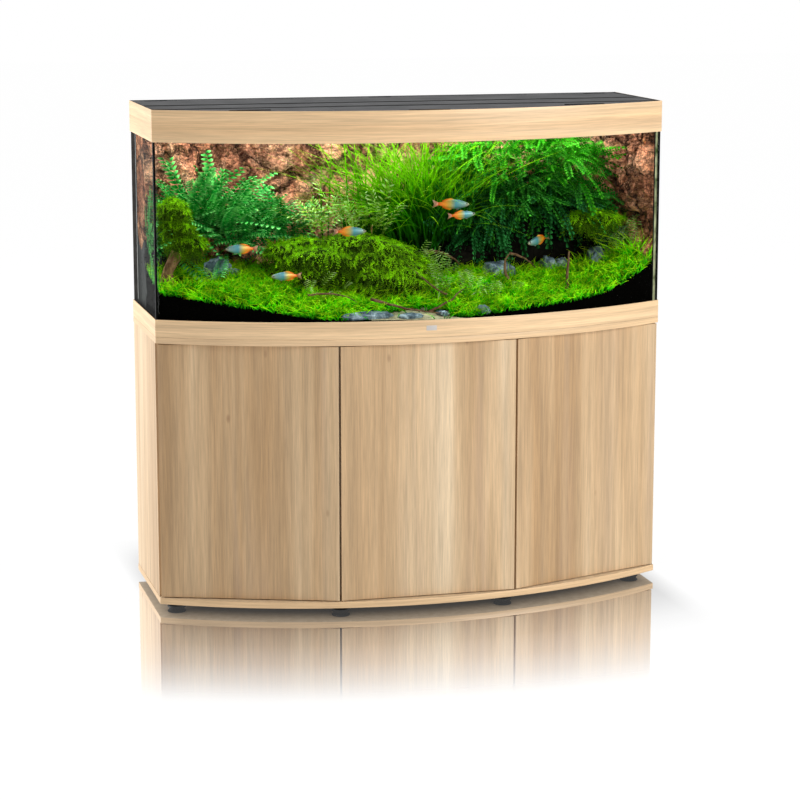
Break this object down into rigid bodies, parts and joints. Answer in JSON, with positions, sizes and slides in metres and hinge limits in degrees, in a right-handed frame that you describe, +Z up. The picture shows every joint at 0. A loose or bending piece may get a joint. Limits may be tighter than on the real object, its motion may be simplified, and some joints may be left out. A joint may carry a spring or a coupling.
{
  "type": "aquarium on stand",
  "caption": "Bow-front glass aquarium with a lidded hood and a planted interior, standing on a matching cabinet with flat hinged doors.",
  "frame": {"origin": "centre of the footprint at floor level", "axes": "+X along the width to the right seen from the front, +Y towards the back, +Z up"},
  "size_m": [1.51, 0.61, 1.44],
  "materials": {
    "oak_laminate": "satin light oak decor",
    "carcass_board": "matte board",
    "foot_plastic": "moulded",
    "hinge_steel": "nickel plated",
    "latch_plastic": "moulded",
    "tank_glass": "clear float glass",
    "hood_plastic": "fine moulded texture",
    "light_tube": "milky diffuser",
    "filter_plastic": "moulded",
    "filter_foam": "open-cell foam",
    "heater_glass": "clear tube",
    "substrate": "loose granular soil",
    "rock": "rough red-brown rock",
    "mossy_wood": "bark covered by moss"
  },
  "bodies": {
    "tank_and_cabinet": {"base_panel": "oak_laminate", "top_panel": "oak_laminate", "side_panel_left": "oak_laminate", "side_panel_right": "oak_laminate", "bottom_frame": "oak_laminate", "hood_band": "oak_laminate", "partition_left": "carcass_board", "partition_right": "carcass_board", "shelf_left": "carcass_board", "shelf_right": "carcass_board", "back_panel": "carcass_board", "foot_front_left": "foot_plastic", "foot_front_mid_left": "foot_plastic", "foot_front_mid_right": "foot_plastic", "foot_front_right": "foot_plastic", "foot_rear_left": "foot_plastic", "foot_rear_mid_left": "foot_plastic", "foot_rear_mid_right": "foot_plastic", "foot_rear_right": "foot_plastic", "hinge_arm_left_lower": "hinge_steel", "hinge_arm_left_upper": "hinge_steel", "hinge_arm_middle_lower": "hinge_steel", "hinge_arm_middle_upper": "hinge_steel", "hinge_arm_right_lower": "hinge_steel", "hinge_arm_right_upper": "hinge_steel", "latch_body_left": "latch_plastic", "latch_body_middle": "latch_plastic", "latch_body_right": "latch_plastic", "bottom_glass": "tank_glass", "front_glass": "tank_glass", "side_glass_left": "tank_glass", "side_glass_right": "tank_glass", "back_glass": "tank_glass", "top_frame": "hood_plastic", "filter_box": "filter_plastic", "filter_pump": "filter_plastic", "filter_foam": "filter_foam", "heater": "heater_glass", "substrate": "substrate", "rock_background": "rock", "driftwood": "mossy_wood"},
    "door_left": {"door_left": "oak_laminate", "hinge_cup_left_lower": "hinge_steel", "hinge_cup_left_upper": "hinge_steel"},
    "latch_plunger_left": {"latch_plunger_left": "latch_plastic"},
    "door_middle": {"door_middle": "oak_laminate", "hinge_cup_middle_lower": "hinge_steel", "hinge_cup_middle_upper": "hinge_steel"},
    "latch_plunger_middle": {"latch_plunger_middle": "latch_plastic"},
    "door_right": {"door_right": "oak_laminate", "hinge_cup_right_lower": "hinge_steel", "hinge_cup_right_upper": "hinge_steel"},
    "latch_plunger_right": {"latch_plunger_right": "latch_plastic"},
    "light_unit": {"light_unit": "hood_plastic", "light_tube_front": "light_tube", "light_tube_rear": "light_tube"},
    "flap_front_left": {"flap_front_left": "hood_plastic"},
    "flap_front_middle": {"flap_front_middle": "hood_plastic"},
    "flap_front_right": {"flap_front_right": "hood_plastic"},
    "rear_cover": {"rear_cover": "hood_plastic"}
  },
  "joints": [
    {"name": "door_left_hinge", "type": "hinge", "parent": "tank_and_cabinet", "child": "door_left", "pos_m": [-0.75143, -0.10471, 0.41], "axis": [0, 0, -1], "range_deg": [0, 100]},
    {"name": "door_middle_hinge", "type": "hinge", "parent": "tank_and_cabinet", "child": "door_middle", "pos_m": [-0.25872, -0.28085, 0.41], "axis": [0, 0, -1], "range_deg": [0, 95]},
    {"name": "door_right_hinge", "type": "hinge", "parent": "tank_and_cabinet", "child": "door_right", "pos_m": [0.75143, -0.10471, 0.41], "axis": [0, 0, 1], "range_deg": [0, 100]},
    {"name": "latch_plunger_left_push", "type": "slide", "parent": "tank_and_cabinet", "child": "latch_plunger_left", "axis": [0.3385, 0.941, 0], "range_m": [0, 0.003], "stiffness_N_per_m": 300},
    {"name": "latch_plunger_middle_push", "type": "slide", "parent": "tank_and_cabinet", "child": "latch_plunger_middle", "axis": [0, 1, 0], "range_m": [0, 0.003], "stiffness_N_per_m": 300},
    {"name": "latch_plunger_right_push", "type": "slide", "parent": "tank_and_cabinet", "child": "latch_plunger_right", "axis": [-0.3385, 0.941, 0], "range_m": [0, 0.003], "stiffness_N_per_m": 300},
    {"name": "light_unit_lift", "type": "slide", "parent": "tank_and_cabinet", "child": "light_unit", "axis": [0, 0, 1], "range_m": [0, 0.25]},
    {"name": "flap_front_left_hinge", "type": "hinge", "parent": "light_unit", "child": "flap_front_left", "pos_m": [0, -0.085, 1.438], "axis": [-1, 0, 0], "range_deg": [0, 100]},
    {"name": "flap_front_middle_hinge", "type": "hinge", "parent": "light_unit", "child": "flap_front_middle", "pos_m": [0, -0.085, 1.438], "axis": [-1, 0, 0], "range_deg": [0, 100]},
    {"name": "flap_front_right_hinge", "type": "hinge", "parent": "light_unit", "child": "flap_front_right", "pos_m": [0, -0.085, 1.438], "axis": [-1, 0, 0], "range_deg": [0, 100]},
    {"name": "rear_cover_hinge", "type": "hinge", "parent": "light_unit", "child": "rear_cover", "pos_m": [0, 0.087, 1.438], "axis": [1, 0, 0], "range_deg": [0, 100]}
  ]
}
